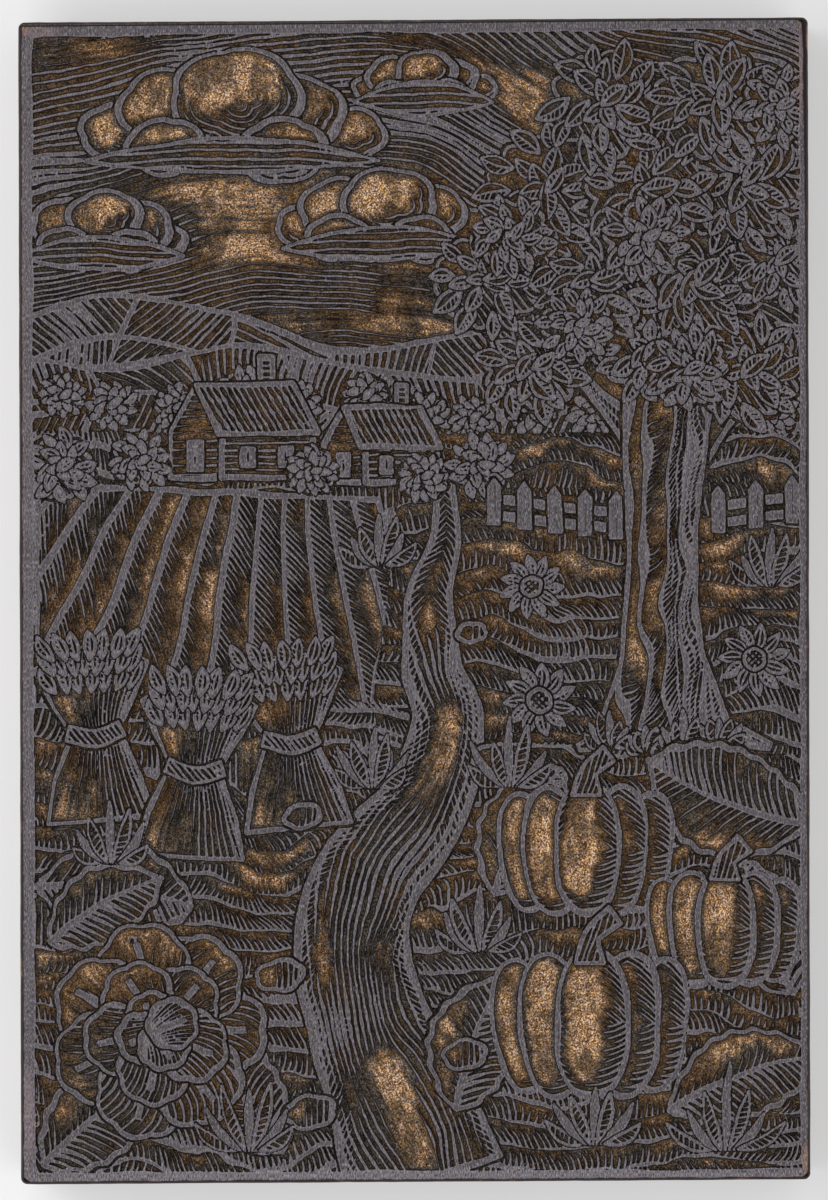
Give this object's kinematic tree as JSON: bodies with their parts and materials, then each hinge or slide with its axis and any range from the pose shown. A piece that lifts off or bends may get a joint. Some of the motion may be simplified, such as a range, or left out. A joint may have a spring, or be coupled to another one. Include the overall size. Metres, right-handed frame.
{
  "type": "letterpress printing block",
  "caption": "Carved wooden relief block with a raised rim and a country scene, brought to type height on a mount that dovetail keys hold flat.",
  "frame": {"origin": "middle of the back, in the plane that the block rests on", "axes": "+Z out of the printing face, +Y towards the head of the picture, +X to its right"},
  "size_m": [0.1112, 0.164, 0.0233],
  "materials": {
    "face_wood": "ink-stained grey-violet on the raised lines, brown in the cuts",
    "mount_wood": "planed and handled, darkened",
    "key_wood": "planed hardwood",
    "dowel_wood": "end grain, planed flush",
    "screw_steel": "dull, lightly browned"
  },
  "bodies": {
    "root": {"face_board": "face_wood", "base_board": "mount_wood", "head_key": "key_wood", "foot_key": "key_wood", "key_pegs": "dowel_wood", "register_dowels": "dowel_wood", "back_screws": "screw_steel"}
  },
  "joints": []
}
